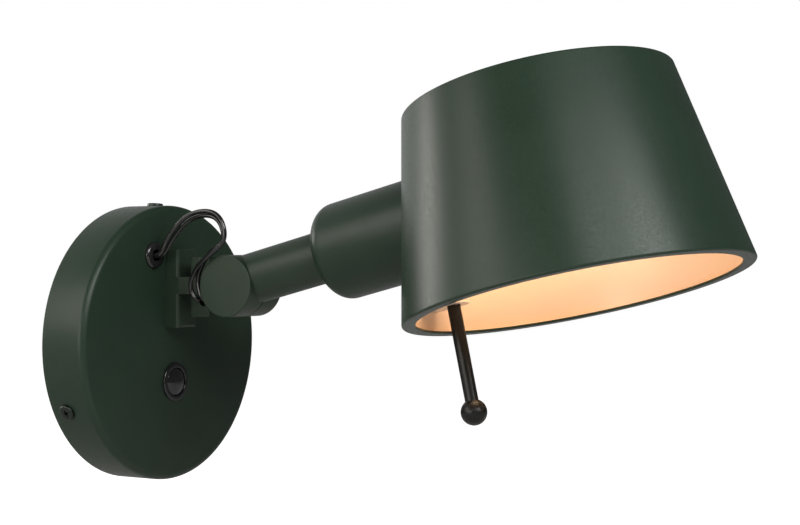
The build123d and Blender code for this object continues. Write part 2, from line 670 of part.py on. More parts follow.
def make_holder_contact():
    return ARM * bar(CONTACT_RADIUS, HOLDER_FLOOR, HOLDER_FLOOR + CONTACT_HEIGHT)


def make_bulb_cap():
    tip_start = HOLDER_FLOOR + CONTACT_HEIGHT
    cap_start = tip_start + BULB_TIP_HEIGHT
    body = bar(BULB_CAP_RADIUS, cap_start, cap_start + BULB_CAP_LENGTH)
    body = chamfer(body.edges().sort_by(Axis.Z)[0], BULB_CAP_CHAMFER)
    body += bar(BULB_TIP_RADIUS, tip_start, cap_start)
    return ARM * body


def make_bulb_glass():
    start = HOLDER_FLOOR + CONTACT_HEIGHT + BULB_TIP_HEIGHT + BULB_CAP_LENGTH
    end = start + BULB_GLASS_LENGTH
    centre = end - BULB_RADIUS
    join_angle = radians(BULB_JOIN_ANGLE)
    join = (BULB_RADIUS * cos(join_angle), centre - BULB_RADIUS * sin(join_angle))
    neck = Spline(
        (BULB_NECK_RADIUS, start), join,
        tangents=((0.15, 1), (sin(join_angle), cos(join_angle))),
    )
    globe = CenterArc((0, centre), BULB_RADIUS, -BULB_JOIN_ANGLE, 90 + BULB_JOIN_ANGLE)
    axis_line = Line((0, end), (0, start))
    base = Line((0, start), (BULB_NECK_RADIUS, start))
    outline = Plane.XZ * make_face(neck + globe + axis_line + base)
    return ARM * revolve(outline, Axis.Z)


# ---- head ----

def shade_radius(height):
    """Outer radius of the shade at a height from the arm's axis, along the shade's axis."""
    return SHADE_TOP_RADIUS + (SHADE_ABOVE_ARM - height) * SHADE_TAPER


def shade_outer_solid():
    """The shade's outer form, filled."""
    outline = Polyline(
        (0, SHADE_ABOVE_ARM), (SHADE_TOP_RADIUS, SHADE_ABOVE_ARM),
        (SHADE_BOTTOM_RADIUS, -SHADE_BELOW_ARM), (0, -SHADE_BELOW_ARM), close=True,
    )
    return revolve(Plane.XZ * make_face(outline), Axis.Z)


def make_shade():
    slant_wall = SHADE_WALL * sqrt(1 + SHADE_TAPER ** 2)
    top_inside = SHADE_ABOVE_ARM - SHADE_WALL
    lip_top = -SHADE_BELOW_ARM + SHADE_WALL
    opening = SHADE_BOTTOM_RADIUS - SHADE_LIP
    outline = Polyline(
        (0, SHADE_ABOVE_ARM), (SHADE_TOP_RADIUS, SHADE_ABOVE_ARM),
        (SHADE_BOTTOM_RADIUS, -SHADE_BELOW_ARM), (opening, -SHADE_BELOW_ARM),
        (opening, lip_top), (shade_radius(lip_top) - slant_wall, lip_top),
        (shade_radius(top_inside) - slant_wall, top_inside), (0, top_inside), close=True,
    )
    profile = make_face(outline)
    corners = profile.vertices().sort_by(Axis.X)
    rim = corners[-1]
    profile = fillet(rim, SHADE_RIM_FILLET)
    top = profile.vertices().group_by(Axis.Y)[-1].sort_by(Axis.X)[-1]
    profile = fillet(top, SHADE_TOP_FILLET)
    shell = revolve(Plane.XZ * profile, Axis.Z)
    along_arm = Plane(origin=(-SHADE_REACH, 0, 0), x_dir=(0, 1, 0), z_dir=(1, 0, 0))
    shell -= along_arm * bar(CUP_RADIUS - CUP_WALL, 0, SHADE_REACH - SHADE_TOP_RADIUS / 2)
    return HEAD * shell


def make_cup():
    outer = bar(CUP_RADIUS, CUP_START, SHADE_REACH)
    outer = fillet(outer.edges().sort_by(Axis.Z)[0], CUP_SHOULDER)
    inner = bar(CUP_RADIUS - CUP_WALL, CUP_INSIDE, SHADE_REACH + CUT_PAST)
    inner = fillet(inner.edges().sort_by(Axis.Z)[0], CUP_SHOULDER - CUP_WALL)
    hole = bar(NIPPLE_RADIUS + 2 * RUNNING_FIT, CUP_START - CUT_PAST, CUP_INSIDE + CUT_PAST)
    return ARM * (outer - inner - hole) - HEAD * shade_outer_solid()


def make_handle_boss():
    """The boss inside the shade's back wall that takes the handle's rod."""
    bottom = BOSS_TOP - BOSS_HEIGHT
    nose = BOSS_NOSE - HANDLE_INSET
    half = BOSS_WIDTH / 2
    body = block((-SHADE_BOTTOM_RADIUS, nose), (-half, half), (bottom, BOSS_TOP))
    body = fillet(body.edges().filter_by(Axis.Z).group_by(Axis.X)[-1], BOSS_NOSE_FILLET)
    body = body & shade_inner_solid()
    body -= bar(ROD_RADIUS + THREAD_CLEARANCE, bottom - CUT_PAST, BOSS_TOP - BOSS_ROOF, -HANDLE_INSET)
    return HEAD * body


def shade_inner_solid():
    """The space inside the shade's wall, filled."""
    slant_wall = SHADE_WALL * sqrt(1 + SHADE_TAPER ** 2)
    outline = Polyline(
        (0, SHADE_ABOVE_ARM), (SHADE_TOP_RADIUS - slant_wall, SHADE_ABOVE_ARM),
        (SHADE_BOTTOM_RADIUS - slant_wall, -SHADE_BELOW_ARM), (0, -SHADE_BELOW_ARM), close=True,
    )
    return revolve(Plane.XZ * make_face(outline), Axis.Z)


def make_handle_rod():
    return HEAD * bar(ROD_RADIUS, BALL_SEAT - BALL_DROP, BOSS_TOP - BOSS_ROOF, -HANDLE_INSET)


def make_handle_ball():
    ball = Pos(-HANDLE_INSET, 0, -BALL_DROP) * Sphere(BALL_RADIUS)
    bore = bar(ROD_RADIUS + THREAD_CLEARANCE, BALL_SEAT - BALL_DROP, 0, -HANDLE_INSET)
    return HEAD * (ball - bore)


# ---- write one file for each piece ----

def write(name, shape):
    """Write a piece, or a group of separate equal pieces, under its own name."""
    solids = shape if isinstance(shape, list) else [shape]
    solids = [solid for item in solids for solid in item.solids()]
    whole = solids[0] if len(solids) == 1 else Compound(children=solids)
    export_step(whole, f"parts/{name}.step")


PIECES = {
    "wall_plate": make_wall_plate,
    "canopy": make_canopy,
    "side_screws": make_side_screws,
    "hinge_block": make_hinge_block,
    "block_screws": make_block_screws,
    "earth_screw": make_earth_screw,
    "earth_washer": make_earth_washer,
    "terminal_block": make_terminal_block,
    "terminal_screws": make_terminal_screws,
    "switch_body": make_switch_bezel,
    "switch_nut": make_switch_nut,
    "switch_tabs": make_switch_tabs,
    "push_button": make_push_button,
    "cord_grommet": make_grommet,
    "canopy_leads": make_canopy_leads,
    "knuckle": make_knuckle,
    "pivot_pin": make_pivot_pin,
    "arm_barrel": make_arm_barrel,
    "arm_tube": make_arm_tube,
    "tilt_bolt": make_tilt_bolt,
    "tilt_spring_washer": make_spring_washer,
    "friction_disc": make_friction_disc,
    "end_bush": make_end_bush,
    "nipple": make_nipple,
    "neck_washer": make_neck_washer,
    "neck_spring_ring": make_spring_ring,
    "lock_nut": make_lock_nut,
    "lampholder": make_lampholder,
    "holder_sleeve": make_holder_sleeve,
    "holder_contact": make_holder_contact,
    "bulb_cap": make_bulb_cap,
    "bulb_glass": make_bulb_glass,
    "cup": make_cup,
    "shade": make_shade,
    "handle_boss": make_handle_boss,
    "handle_rod": make_handle_rod,
    "handle_ball": make_handle_ball,
}

for piece_name, make_piece in PIECES.items():
    write(piece_name, make_piece())

write("loop_lead_left", tube_along(LEFT_LEAD_ROUTE, LEAD_RADIUS, "left lead of the loop"))
write("loop_lead_right", tube_along(RIGHT_LEAD_ROUTE, LEAD_RADIUS, "right lead of the loop"))
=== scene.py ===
from math import acos, atan2, cos, pi, radians, sin, sqrt, tan

import bmesh
import bpy
from mathutils import Matrix, Vector


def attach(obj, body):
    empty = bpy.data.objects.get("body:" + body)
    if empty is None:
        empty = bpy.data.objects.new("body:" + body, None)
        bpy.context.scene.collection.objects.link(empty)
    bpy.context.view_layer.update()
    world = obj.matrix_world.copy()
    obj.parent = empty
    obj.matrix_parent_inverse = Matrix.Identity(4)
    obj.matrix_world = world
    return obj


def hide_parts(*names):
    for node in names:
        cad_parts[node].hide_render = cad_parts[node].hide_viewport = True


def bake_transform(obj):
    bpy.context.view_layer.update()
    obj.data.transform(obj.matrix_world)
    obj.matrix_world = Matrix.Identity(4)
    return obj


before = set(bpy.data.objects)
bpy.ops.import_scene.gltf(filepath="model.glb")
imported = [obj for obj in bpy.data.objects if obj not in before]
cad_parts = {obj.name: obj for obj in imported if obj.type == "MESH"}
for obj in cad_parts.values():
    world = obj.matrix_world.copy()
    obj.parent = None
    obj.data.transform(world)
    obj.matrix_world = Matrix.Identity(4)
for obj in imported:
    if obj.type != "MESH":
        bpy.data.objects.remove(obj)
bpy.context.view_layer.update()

# A bedside wall reading lamp. Lengths are in metres; X runs along the wall,
# -Y points out of the wall and Z is up, as in the frame.
MM = 0.001

# ---- sizes, as in the frame ----

CANOPY_RADIUS = 60.0 * MM
CANOPY_DEPTH = 22.0 * MM
CANOPY_WALL = 1.5 * MM
CANOPY_EDGE = 3.0 * MM
SCREW_ANGLES = (86.8, 206.8, 326.8)
SCREW_DEPTH = 8.3 * MM
SCREW_HEAD_RADIUS = 3.5 * MM
SCREW_HEAD_HEIGHT = 1.3 * MM
SCREW_SHANK_RADIUS = 2.0 * MM
SCREW_SHANK_LENGTH = 8.0 * MM
SCREW_HOLE_RADIUS = 2.2 * MM
SCREW_HOLE_DEPTH = 6.0 * MM
SCREW_HOLE_RISE = 2.0 * MM
CROSS_WIDTH = 0.9 * MM
CROSS_REACH = 2.1 * MM
CROSS_DEPTH = 1.1 * MM
CROSS_TURN = radians(20)

TILT_AXIS = Vector((0.0, -57.8, 25.0)) * MM
BARREL_RADIUS = 13.2 * MM
BARREL_HALF_LENGTH = 11.8 * MM
SEAM = 0.5 * MM
BARREL_GAP = 0.4 * MM
ARM_ELEVATION = radians(14.23)
ARM_RADIUS = 10.92 * MM
ARM_WALL = 1.2 * MM
ARM_OFFSET = 1.5 * MM
ARM_LENGTH = 47.4 * MM

CUP_RADIUS = 20.17 * MM
CUP_WALL = 1.6 * MM
CUP_START = 47.7 * MM
CUP_SHOULDER = 7.0 * MM
NIPPLE_HOLE_RADIUS = 5.1 * MM

SHADE_REACH = 152.36 * MM
SHADE_ROLL = radians(3.7)
SHADE_TOP_RADIUS = 53.26 * MM
SHADE_BOTTOM_RADIUS = 67.8 * MM
SHADE_TOP = 36.93 * MM
SHADE_BOTTOM = -43.19 * MM
SHADE_WALL = 1.2 * MM
SHADE_LIP = 5.5 * MM
SHADE_RIM = 0.9 * MM
SHADE_TAPER = (SHADE_BOTTOM_RADIUS - SHADE_TOP_RADIUS) / (SHADE_TOP - SHADE_BOTTOM)

HANDLE_INSET = 53.1 * MM
ROD_RADIUS = 2.68 * MM
ROD_TOP = -24.0 * MM
BALL_RADIUS = 5.23 * MM
BALL_DROP = 76.7 * MM
ROD_CLEARANCE = 0.05 * MM
# Heights over the ball's centre, as shares of its radius.
ROD_END_HEIGHT = 0.4
SOCKET_FLOOR_HEIGHT = 0.35

SWITCH_HEIGHT = -17.3 * MM
BEZEL_RADIUS = 8.45 * MM
BEZEL_BORE = 6.2 * MM
BEZEL_HEIGHT = 1.1 * MM
SWITCH_HOLE_RADIUS = 7.1 * MM
SWITCH_BODY_RADIUS = 6.9 * MM
SWITCH_BODY_BACK = 4.6 * MM
SWITCH_WELL_FLOOR = 11.0 * MM
BUTTON_RADIUS = 6.0 * MM
BUTTON_BACK = 13.3 * MM
BUTTON_FRONT = 24.0 * MM
BUTTON_DOME = 1.3 * MM
BUTTON_EDGE = 0.35 * MM

GROMMET_X = -14.7 * MM
GROMMET_Z = 38.0 * MM
GROMMET_RADIUS = 5.75 * MM
GROMMET_HEIGHT = 1.8 * MM
GROMMET_BORE = 2.4 * MM
GROMMET_HOLE_RADIUS = 4.43 * MM
GROMMET_NECK_RADIUS = 4.4 * MM
GROMMET_FLANGE_RADIUS = 5.3 * MM
GROMMET_FLANGE_DEPTH = 1.5 * MM
LEAD_RADIUS = 1.0 * MM
LEAD_SPACING = 2.3 * MM
LEAD_EXIT_Y = -23.8 * MM
LEAD_HOLE_Y = -42.9 * MM
LEAD_HOLE_Z = 18.6 * MM
LEAD_END_X = -3.25 * MM

# ---- local frames: columns are the local x, y and z axes ----


def frame_matrix(origin, x_axis, z_axis):
    """A matrix whose local x and z axes point as told."""
    z = Vector(z_axis).normalized()
    x = Vector(x_axis).normalized()
    y = z.cross(x)
    turn = Matrix((x, y, z)).transposed().to_4x4()
    return Matrix.Translation(Vector(origin)) @ turn


ARM_DIRECTION = Vector((0.0, -cos(ARM_ELEVATION), sin(ARM_ELEVATION)))
ARM_UP = Vector((0.0, sin(ARM_ELEVATION), cos(ARM_ELEVATION)))
ARM_START = TILT_AXIS + Vector((0.0, 0.0, ARM_OFFSET))
SHADE_CENTRE = ARM_START + ARM_DIRECTION * SHADE_REACH
SHADE_UP = ARM_UP * cos(SHADE_ROLL) + Vector((1.0, 0.0, 0.0)) * sin(SHADE_ROLL)

WALL = frame_matrix((0, 0, 0), (1, 0, 0), (0, -1, 0))
AT_SWITCH = WALL @ Matrix.Translation((0, SWITCH_HEIGHT, 0))
AT_GROMMET = WALL @ Matrix.Translation((GROMMET_X, GROMMET_Z, 0))
ARM = frame_matrix(ARM_START, (1, 0, 0), ARM_DIRECTION)
HEAD = frame_matrix(SHADE_CENTRE, ARM_DIRECTION, SHADE_UP)
HINGE = frame_matrix(TILT_AXIS, (0, -1, 0), (1, 0, 0))

# ---- camera ----

CAMERA_PLACE = Vector((-562.118, -465.970, 34.609)) * MM
CAMERA_YAW = radians(59.63)
CAMERA_PITCH = radians(0.03)
FOCAL_PIXELS = 1616.3
FRAME_WIDTH = 800
SENSOR_WIDTH = 36.0


def make_camera():
    data = bpy.data.cameras.new("camera")
    data.sensor_width = SENSOR_WIDTH
    data.lens = FOCAL_PIXELS * SENSOR_WIDTH / FRAME_WIDTH
    data.clip_start = 0.01
    camera = bpy.data.objects.new("camera", data)
    forward = Vector((
        sin(CAMERA_YAW) * cos(CAMERA_PITCH),
        cos(CAMERA_YAW) * cos(CAMERA_PITCH),
        sin(CAMERA_PITCH),
    ))
    right = Vector((cos(CAMERA_YAW), -sin(CAMERA_YAW), 0.0))
    camera.matrix_world = frame_matrix(CAMERA_PLACE, right, -forward)
    bpy.context.scene.collection.objects.link(camera)
    bpy.context.scene.camera = camera


# ---- materials; colours are linear ----

# Most of a noise's values lie between these two.
NOISE_LOW = 0.3
NOISE_HIGH = 0.7
PAINT_SPECULAR = 0.17
GLOSS_SPECULAR = 0.4
# The paint's specks: noise over SPECK_START, up to this share of a paler green.
SPECK_START = 0.62
SPECK_FULL = 0.8
SPECK_SHARE = 0.5
SPECK_BRIGHTNESS = 2.2


def map_range(tree, value, low, high, low_out, high_out):
    """The value, moved from one range to another."""
    node = tree.nodes.new("ShaderNodeMapRange")
    for socket, number in (("From Min", low), ("From Max", high), ("To Min", low_out), ("To Max", high_out)):
        node.inputs[socket].default_value = number
    tree.links.new(value, node.inputs["Value"])
    return node.outputs["Result"]


def combine(tree, operation, first, second):
    """Two numbers joined by an operation; the second may be a plain number."""
    node = tree.nodes.new("ShaderNodeMath")
    node.operation = operation
    tree.links.new(first, node.inputs[0])
    if isinstance(second, float):
        node.inputs[1].default_value = second
    else:
        tree.links.new(second, node.inputs[1])
    return node.outputs[0]


class Nodes:
    """A short way to build one material's node tree."""

    def __init__(self, name):
        self.material = bpy.data.materials.new(name)
        self.material.use_nodes = True
        self.tree = self.material.node_tree
        self.shader = self.tree.nodes["Principled BSDF"]
        self.place = self.add("ShaderNodeTexCoord").outputs["Object"]

    def add(self, kind, **settings):
        node = self.tree.nodes.new(kind)
        for key, value in settings.items():
            setattr(node, key, value)
        return node

    def link(self, start, end):
        self.tree.links.new(start, end)

    def noise(self, scale, detail=2.0, roughness=0.5):
        node = self.add("ShaderNodeTexNoise")
        node.inputs["Scale"].default_value = scale
        node.inputs["Detail"].default_value = detail
        node.inputs["Roughness"].default_value = roughness
        self.link(self.place, node.inputs["Vector"])
        return node.outputs["Fac"]

    def patches(self, scale, detail, low_out=0.0, high_out=1.0):
        """Soft patches that run from one number to another."""
        return map_range(self.tree, self.noise(scale, detail), NOISE_LOW, NOISE_HIGH, low_out, high_out)

    def blend(self, factor, first, second):
        """A colour between two colours."""
        node = self.add("ShaderNodeMix", data_type="RGBA")
        for socket, colour in ((node.inputs[6], first), (node.inputs[7], second)):
            if isinstance(colour, tuple):
                socket.default_value = (*colour, 1.0)
            else:
                self.link(colour, socket)
        self.link(factor, node.inputs[0])
        return node.outputs[2]

    def bump(self, height, strength, distance):
        node = self.add("ShaderNodeBump")
        node.inputs["Strength"].default_value = strength
        node.inputs["Distance"].default_value = distance
        self.link(height, node.inputs["Height"])
        self.link(node.outputs["Normal"], self.shader.inputs["Normal"])

    def skin(self, colour, roughness):
        """Links the surface's colour and roughness."""
        self.link(colour, self.shader.inputs["Base Color"])
        self.link(roughness, self.shader.inputs["Roughness"])

    def value(self, socket, number):
        self.shader.inputs[socket].default_value = number


def powder_coat(name, dark, light, roughness, grain=1.0):
    """Satin powder coat: a fine orange-peel skin with a faint speckle."""
    n = Nodes(name)
    base = n.blend(n.patches(scale=28.0, detail=3.0), dark, light)
    speck = map_range(n.tree, n.noise(scale=2600.0, detail=1.0), SPECK_START, SPECK_FULL, 0.0, SPECK_SHARE)
    base = n.blend(speck, base, tuple(SPECK_BRIGHTNESS * c for c in light))
    n.skin(base, n.patches(900.0, 2.0, roughness - 0.05, roughness + 0.05))
    n.value("Specular IOR Level", PAINT_SPECULAR)
    n.bump(n.noise(1500.0 * grain), strength=0.12, distance=0.06 * MM)
    return n.material


def enamel(name, colour, shaded, roughness):
    """Smooth warm white stove enamel inside the shade."""
    n = Nodes(name)
    base = n.blend(n.patches(scale=18.0, detail=2.0), colour, shaded)
    n.skin(base, n.patches(500.0, 2.0, roughness - 0.06, roughness + 0.06))
    n.value("Specular IOR Level", 1.0)
    n.value("IOR", 1.8)
    n.bump(n.noise(1200.0), strength=0.08, distance=0.05 * MM)
    return n.material


def gloss(name, dark, light, roughness, scale=60.0):
    """Moulded plastic or rubber with faint flow marks and fine scratches."""
    n = Nodes(name)
    base = n.blend(n.patches(scale, 3.0), dark, light)
    n.skin(base, n.patches(scale * 9, 3.0, roughness * 0.7, roughness * 1.4))
    n.value("Specular IOR Level", GLOSS_SPECULAR)
    n.bump(n.noise(scale * 20), strength=0.06, distance=0.04 * MM)
    return n.material


def metal(name, dark, light, roughness, scale=220.0):
    """Plated or turned metal with fine tool marks."""
    n = Nodes(name)
    base = n.blend(n.patches(scale, 4.0), dark, light)
    n.skin(base, n.patches(scale * 4, 3.0, roughness - 0.08, roughness + 0.1))
    n.value("Metallic", 1.0)
    n.bump(n.noise(scale * 8), strength=0.1, distance=0.04 * MM)
    return n.material


def opal_glass(name, colour, glow, strength):
    """Opal lamp glass, lit from inside."""
    n = Nodes(name)
    shaded = tuple(0.94 * c for c in colour)
    n.link(n.blend(n.patches(scale=40.0, detail=2.0), colour, shaded), n.shader.inputs["Base Color"])
    n.value("Roughness", 0.25)
    n.shader.inputs["Emission Color"].default_value = (*glow, 1.0)
    n.value("Emission Strength", strength)
    return n.material


GREEN_DARK = (0.0104, 0.0205, 0.0124)
GREEN_LIGHT = (0.0134, 0.0252, 0.0158)
# Painted light: the hinge, knuckle and arm wear the same green as the shell, painted lighter to stand in for
# light from the left that the lamps give them too little of.
PAINTED_LIT_HINGE_DARK = (0.0140, 0.0240, 0.0150)
PAINTED_LIT_HINGE_LIGHT = (0.0175, 0.0285, 0.0185)

PAINT = {
    "shell": powder_coat("green_powder_coat", GREEN_DARK, GREEN_LIGHT, 0.36),
    # A lighter copy of the green coat, painted light on the hinge and arm parts.
    "hinge": powder_coat("green_coat_painted_lighter", PAINTED_LIT_HINGE_DARK, PAINTED_LIT_HINGE_LIGHT, 0.40, 1.2),
    "lip": powder_coat("green_rim_coat", GREEN_DARK, GREEN_LIGHT, 0.34),
    "inside": enamel("warm_white_enamel", (0.60, 0.46, 0.34), (0.57, 0.43, 0.31), 0.34),
    "black": gloss("black_switch_plastic", (0.006, 0.006, 0.0065), (0.010, 0.010, 0.011), 0.12),
    "rubber": gloss("black_grommet_rubber", (0.006, 0.006, 0.006), (0.011, 0.011, 0.011), 0.14, 90.0),
    "lead": gloss("black_lead_jacket", (0.005, 0.005, 0.0052), (0.008, 0.008, 0.0085), 0.18, 120.0),
    "handle": powder_coat("black_handle_coat", (0.0052, 0.0056, 0.0052), (0.0075, 0.0080, 0.0075), 0.33, 1.4),
    "screw": metal("dark_screw_steel", (0.022, 0.028, 0.023), (0.034, 0.040, 0.034), 0.34),
    "recess": powder_coat("recess_black", (0.003, 0.003, 0.003), (0.005, 0.005, 0.005), 0.6),
    "steel": metal("zinc_plated_steel", (0.46, 0.47, 0.47), (0.62, 0.62, 0.60), 0.34),
    "brass": metal("turned_brass", (0.58, 0.42, 0.17), (0.72, 0.54, 0.25), 0.28),
    "fibre": gloss("brown_fibre", (0.09, 0.055, 0.03), (0.14, 0.09, 0.05), 0.6),
    "holder": gloss("off_white_holder_plastic", (0.62, 0.60, 0.54), (0.68, 0.66, 0.60), 0.42),
    "glass": opal_glass("opal_lamp_glass", (0.92, 0.88, 0.80), (1.0, 0.72, 0.46), 10.0),
}

NODE_PAINT = {
    "wall_plate": "steel", "block_screws": "steel", "earth_screw": "brass", "earth_washer": "brass",
    "terminal_block": "holder", "terminal_screws": "steel", "switch_nut": "steel", "switch_tabs": "brass",
    "canopy_leads": "lead", "knuckle": "hinge", "pivot_pin": "steel", "hinge_block": "hinge",
    "arm_barrel": "hinge", "arm_tube": "hinge", "tilt_bolt": "screw", "tilt_spring_washer": "steel",
    "friction_disc": "fibre", "end_bush": "brass", "nipple": "steel", "neck_washer": "recess",
    "neck_spring_ring": "steel", "lock_nut": "steel", "lampholder": "holder", "holder_sleeve": "brass",
    "holder_contact": "brass", "bulb_cap": "steel", "bulb_glass": "glass", "cup": "shell",
    "shade": "shell", "handle_boss": "inside", "handle_rod": "handle", "handle_ball": "handle",
    "canopy": "shell", "side_screws": "screw", "switch_body": "black", "push_button": "black",
    "cord_grommet": "rubber", "loop_lead_left": "lead", "loop_lead_right": "lead",
}


def paint_frame():
    """Gives every piece of the frame its material."""
    for name, paint in NODE_PAINT.items():
        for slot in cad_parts[name].material_slots:
            slot.material = PAINT[paint]


# ---- mesh helpers ----

# Segments of a full turn, from the widest pieces to the smallest.
WIDE_TURN = 256
MIDDLE_TURN = 192
SWITCH_TURN = 128
SMALL_TURN = 96
TINY_TURN = 64
SHARP_ANGLE = radians(35)


def bare_object(name, bm):
    """The bmesh as an object without a material."""
    mesh = bpy.data.meshes.new(name)
    bm.to_mesh(mesh)
    bm.free()
    obj = bpy.data.objects.new(name, mesh)
    bpy.context.scene.collection.objects.link(obj)
    return obj


def smooth(mesh):
    """Smooth shading, but for edges that turn sharply."""
    mesh.shade_smooth()
    mesh.set_sharp_from_angle(angle=SHARP_ANGLE)


def painted_object(name, bm, paints):
    """The bmesh as an object with its materials."""
    obj = bare_object(name, bm)
    for paint in paints:
        obj.data.materials.append(PAINT[paint])
    smooth(obj.data)
    return obj


def lathe(name, outline, place, paints, segments=MIDDLE_TURN):
    """A closed outline of (radius, height, paint number) turned about the local z axis."""
    bm = bmesh.new()
    rings = []
    for radius, height, _ in outline:
        if radius < 1e-9:
            rings.append([bm.verts.new((0.0, 0.0, height))])
            continue
        steps = [2 * pi * k / segments for k in range(segments)]
        rings.append([bm.verts.new((radius * cos(t), radius * sin(t), height)) for t in steps])
    pairs = list(zip(rings, rings[1:] + rings[:1], outline))
    for first, second, (_, _, paint) in pairs:
        if len(first) == 1 and len(second) == 1:
            continue
        for k in range(segments):
            after = (k + 1) % segments
            corners = [first[k % len(first)], first[after % len(first)],
                       second[after % len(second)], second[k % len(second)]]
            corners = list(dict.fromkeys(corners))
            face = bm.faces.new(corners)
            face.material_index = paint
    bmesh.ops.recalc_face_normals(bm, faces=bm.faces)
    bm.transform(place)
    return painted_object(name, bm, paints)


def rounded(points, paints=None, steps=8):
    """Outline points (radius, height, corner radius), with each corner turned into an arc.

    paints gives the paint number of the run that starts at each point; without it all are 0.
    """
    outline = []
    count = len(points)
    paints = paints or [0] * count
    for i, (r, z, corner) in enumerate(points):
        here = Vector((r, z))
        before = Vector(points[i - 1][:2])
        after = Vector(points[(i + 1) % count][:2])
        if corner <= 0:
            outline.append((r, z, paints[i]))
            continue
        to_before = (before - here).normalized()
        to_after = (after - here).normalized()
        half = acos(max(-1.0, min(1.0, to_before.dot(to_after)))) / 2
        reach = corner / tan(half)
        centre = here + (to_before + to_after).normalized() * corner / sin(half)
        first = here + to_before * reach - centre
        last = here + to_after * reach - centre
        start = atan2(first.y, first.x)
        sweep = atan2(first.x * last.y - first.y * last.x, first.dot(last))
        for k in range(steps + 1):
            t = start + sweep * k / steps
            paint = paints[i - 1] if k < steps / 2 else paints[i]
            outline.append((centre.x + corner * cos(t), centre.y + corner * sin(t), paint))
    return outline


def cone_cutter(name, start_radius, end_radius, start, end, place, segments):
    """A plain round or tapered cutter along the local z axis."""
    bm = bmesh.new()
    bmesh.ops.create_cone(
        bm, cap_ends=True, segments=segments, radius1=start_radius, radius2=end_radius, depth=end - start,
        matrix=Matrix.Translation((0, 0, (start + end) / 2)))
    bm.transform(place)
    return bare_object(name, bm)


def bar_cutter(name, radius, start, end, place, segments=TINY_TURN):
    return cone_cutter(name, radius, radius, start, end, place, segments)


def apply_modifiers(obj):
    depsgraph = bpy.context.evaluated_depsgraph_get()
    mesh = bpy.data.meshes.new_from_object(obj.evaluated_get(depsgraph))
    old = obj.data
    obj.modifiers.clear()
    obj.data = mesh
    bpy.data.meshes.remove(old)
    smooth(mesh)


def cut(obj, cutters):
    """Takes the cutters out of the object, and the cutters out of the scene."""
    for cutter in cutters:
        modifier = obj.modifiers.new("cut", "BOOLEAN")
        modifier.operation = "DIFFERENCE"
        modifier.solver = "EXACT"
        modifier.object = cutter
    apply_modifiers(obj)
    for cutter in cutters:
        mesh = cutter.data
        bpy.data.objects.remove(cutter)
        bpy.data.meshes.remove(mesh)


def stands_for(obj, node, body):
    """The piece replaces that node of the frame and rides on its body."""
    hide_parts(node)
    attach(obj, body)


# ---- leads: the loop from the canopy to the knuckle ----

LEFT_LEAD_ROUTE = (
    (GROMMET_X - LEAD_SPACING / 2, LEAD_EXIT_Y, GROMMET_Z),
    (GROMMET_X - LEAD_SPACING / 2, -27.2 * MM, GROMMET_Z),
    (-15.5 * MM, -30.0 * MM, 45.6 * MM),
    (-15.0 * MM, -41.0 * MM, 56.4 * MM),
    (-14.8 * MM, -56.8 * MM, 56.9 * MM),
    (-14.8 * MM, -61.6 * MM, 44.4 * MM),
    (-14.6 * MM, -51.2 * MM, 37.6 * MM),
    (-13.4 * MM, -44.4 * MM, 33.2 * MM),
    (-11.0 * MM, -38.8 * MM, 26.6 * MM),
    (-10.4 * MM, -39.4 * MM, 21.8 * MM),
    (-9.9 * MM, LEAD_HOLE_Y + LEAD_SPACING / 2, LEAD_HOLE_Z),
    (LEAD_END_X, LEAD_HOLE_Y + LEAD_SPACING / 2, LEAD_HOLE_Z),
)
RIGHT_LEAD_ROUTE = (
    (GROMMET_X + LEAD_SPACING / 2, LEAD_EXIT_Y, GROMMET_Z),
    (GROMMET_X + LEAD_SPACING / 2, -27.0 * MM, GROMMET_Z),
    (-12.9 * MM, -30.4 * MM, 44.4 * MM),
    (-12.9 * MM, -40.6 * MM, 54.5 * MM),
    (-12.9 * MM, -55.0 * MM, 55.2 * MM),
    (-12.9 * MM, -59.4 * MM, 44.0 * MM),
    (-12.4 * MM, -51.4 * MM, 40.0 * MM),
    (-10.6 * MM, -45.6 * MM, 35.0 * MM),
    (-9.2 * MM, -41.6 * MM, 29.2 * MM),
    (-9.0 * MM, -42.0 * MM, 23.8 * MM),
    (-9.3 * MM, LEAD_HOLE_Y - LEAD_SPACING / 2, LEAD_HOLE_Z),
    (LEAD_END_X, LEAD_HOLE_Y - LEAD_SPACING / 2, LEAD_HOLE_Z),
)


def route_line(route):
    """Points read from the route's own smooth spline."""
    curve = bpy.data.curves.new("route", "CURVE")
    curve.dimensions = "3D"
    curve.resolution_u = 14
    spline = curve.splines.new("NURBS")
    spline.points.add(len(route) - 1)
    for point, place in zip(spline.points, route):
        point.co = (*place, 1.0)
    spline.order_u = 3
    spline.use_endpoint_u = True
    obj = bpy.data.objects.new("route", curve)
    bpy.context.scene.collection.objects.link(obj)
    mesh = bpy.data.meshes.new_from_object(obj)
    line = [v.co.copy() for v in mesh.vertices]
    bpy.data.objects.remove(obj)
    bpy.data.curves.remove(curve)
    bpy.data.meshes.remove(mesh)
    return line


def tube(name, line, radius, paint, sides=20):
    """A round closed tube along a line of points."""
    bm = bmesh.new()
    tangents = []
    for k in range(len(line)):
        ahead = line[min(k + 1, len(line) - 1)]
        behind = line[max(k - 1, 0)]
        tangents.append((ahead - behind).normalized())
    side = tangents[0].orthogonal().normalized()
    rings = []
    for place, tangent in zip(line, tangents):
        side = (side - tangent * side.dot(tangent)).normalized()
        up = tangent.cross(side)
        angles = [2 * pi * k / sides for k in range(sides)]
        rings.append([bm.verts.new(place + (side * cos(t) + up * sin(t)) * radius) for t in angles])
    for first, second in zip(rings, rings[1:]):
        for k in range(sides):
            after = (k + 1) % sides
            bm.faces.new((first[k], first[after], second[after], second[k]))
    bm.faces.new(rings[0][::-1])
    bm.faces.new(rings[-1])
    bmesh.ops.recalc_face_normals(bm, faces=bm.faces)
    return painted_object(name, bm, [paint])


def make_loop_lead(node, route):
    line = route_line(route)
    lead = tube(node + "_jacket", line, LEAD_RADIUS, "lead")
    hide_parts(node)
    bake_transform(lead)


# ---- wall base ----


